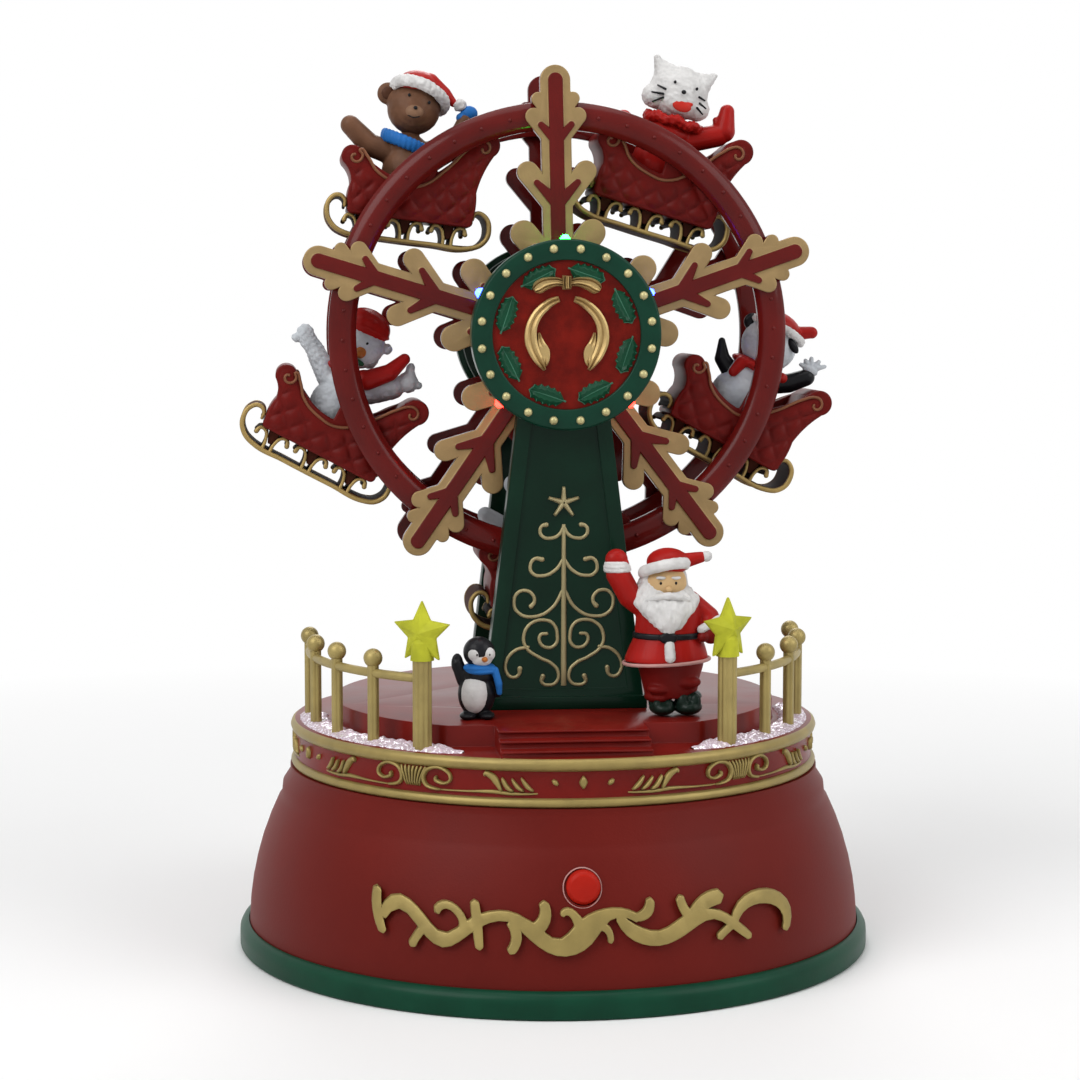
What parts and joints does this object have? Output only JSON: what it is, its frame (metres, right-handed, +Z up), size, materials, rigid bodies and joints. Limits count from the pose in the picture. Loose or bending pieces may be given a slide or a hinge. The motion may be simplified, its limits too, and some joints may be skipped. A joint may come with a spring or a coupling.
{
  "type": "musical ferris wheel ornament",
  "caption": "Battery-driven winter ornament: a double snowflake wheel with hanging sleighs turns between two towers on a round domed base with a push button.",
  "frame": {"origin": "middle of the underside of the foot ring", "axes": "+Z up, -Y towards the front with the push button, the wheel's axle along Y"},
  "size_m": [0.175, 0.175, 0.2435],
  "materials": {
    "ring_green": "glossy",
    "shell_red": "satin",
    "deck_red": "glossy",
    "gold_paint": "satin metallic paint",
    "button_red": "glossy",
    "steel": "plain",
    "cell_jacket": "printed jacket",
    "black_plastic": "matte",
    "board_green": "solder mask",
    "motor_metal": "plain",
    "belt_rubber": "matte",
    "brass": "plain",
    "wheel_red": "glossy",
    "tower_green": "semi gloss",
    "panel_red": "glossy",
    "leaf_green": "glossy",
    "star_yellow": "glittered",
    "lamp_green": "clear",
    "lamp_white": "clear",
    "lamp_red": "clear",
    "snow_white": "glittered",
    "sleigh_red": "glossy",
    "bird_black": "painted",
    "coat_red": "painted",
    "bear_brown": "painted",
    "cat_white": "painted",
    "snow_bear_white": "painted",
    "masked_black": "painted",
    "plain_grey": "painted"
  },
  "bodies": {
    "base": {"bottom_cover": "ring_green", "base_shell": "shell_red", "deck": "deck_red", "base_scroll": "gold_paint", "screws": "steel", "battery_cover": "ring_green", "batteries": "cell_jacket", "battery_contacts": "steel", "speaker": "black_plastic", "button_spring": "steel", "button_switch": "black_plastic", "circuit_board": "board_green", "gear_motor": "motor_metal", "motor_bracket": "black_plastic", "drive_belt": "belt_rubber", "axle_bushes": "brass", "front_tower": "tower_green", "rear_tower": "tower_green", "tower_backs": "tower_green", "tower_relief": "gold_paint", "front_disc": "ring_green", "rear_disc": "ring_green", "disc_panels": "panel_red", "disc_studs": "gold_paint", "holly_wreaths": "leaf_green", "bows": "gold_paint", "green_lamps": "lamp_green", "blue_lamps": "lamp_white", "red_lamps": "lamp_red", "lamp_boards": "board_green", "fences": "gold_paint", "fence_stars": "star_yellow", "snow": "snow_white", "penguin": "bird_black", "waving_figure": "coat_red"},
    "wheel": {"axle": "steel", "axle_pulley": "black_plastic", "front_flake": "wheel_red", "rear_flake": "wheel_red", "front_rim": "wheel_red", "rear_rim": "wheel_red"},
    "button": {"push_button": "button_red"},
    "motor_output": {"drive_pulley": "brass"},
    "sleigh_1": {"sleigh_1": "sleigh_red", "runner_1": "gold_paint", "rider_1": "bear_brown"},
    "sleigh_2": {"sleigh_2": "sleigh_red", "runner_2": "gold_paint", "rider_2": "cat_white"},
    "sleigh_3": {"sleigh_3": "sleigh_red", "runner_3": "gold_paint", "rider_3": "snow_bear_white"},
    "sleigh_4": {"sleigh_4": "sleigh_red", "runner_4": "gold_paint", "rider_4": "masked_black"},
    "sleigh_5": {"sleigh_5": "sleigh_red", "runner_5": "gold_paint", "rider_5": "plain_grey"}
  },
  "joints": [
    {"name": "wheel_spin", "type": "hinge", "parent": "base", "child": "wheel", "pos_m": [0, 0, 0.1688], "axis": [0, 1, 0], "continuous": true},
    {"name": "sleigh_1_swing", "type": "hinge", "parent": "wheel", "child": "sleigh_1", "pos_m": [-0.03531, 0, 0.21532], "axis": [0, 1, 0], "continuous": true},
    {"name": "sleigh_2_swing", "type": "hinge", "parent": "wheel", "child": "sleigh_2", "pos_m": [0.03333, 0, 0.21676], "axis": [0, 1, 0], "continuous": true},
    {"name": "sleigh_3_swing", "type": "hinge", "parent": "wheel", "child": "sleigh_3", "pos_m": [-0.05515, 0, 0.14959], "axis": [0, 1, 0], "continuous": true},
    {"name": "sleigh_4_swing", "type": "hinge", "parent": "wheel", "child": "sleigh_4", "pos_m": [0.05591, 0, 0.15192], "axis": [0, 1, 0], "continuous": true},
    {"name": "sleigh_5_swing", "type": "hinge", "parent": "wheel", "child": "sleigh_5", "pos_m": [0.00122, 0, 0.11041], "axis": [0, 1, 0], "continuous": true},
    {"name": "button_press", "type": "slide", "parent": "base", "child": "button", "axis": [0, 1, 0], "range_m": [0, 0.0015], "stiffness_N_per_m": 400, "deforming": ["button_spring"]},
    {"name": "motor_spin", "type": "hinge", "parent": "base", "child": "motor_output", "pos_m": [0, 0, 0.046], "axis": [0, 1, 0], "continuous": true}
  ],
  "couplings": [
    {"joint": "sleigh_1_swing", "follows": "wheel_spin", "ratio": -1},
    {"joint": "sleigh_2_swing", "follows": "wheel_spin", "ratio": -1},
    {"joint": "sleigh_3_swing", "follows": "wheel_spin", "ratio": -1},
    {"joint": "sleigh_4_swing", "follows": "wheel_spin", "ratio": -1},
    {"joint": "sleigh_5_swing", "follows": "wheel_spin", "ratio": -1},
    {"joint": "motor_spin", "follows": "wheel_spin", "ratio": 1.4909}
  ]
}
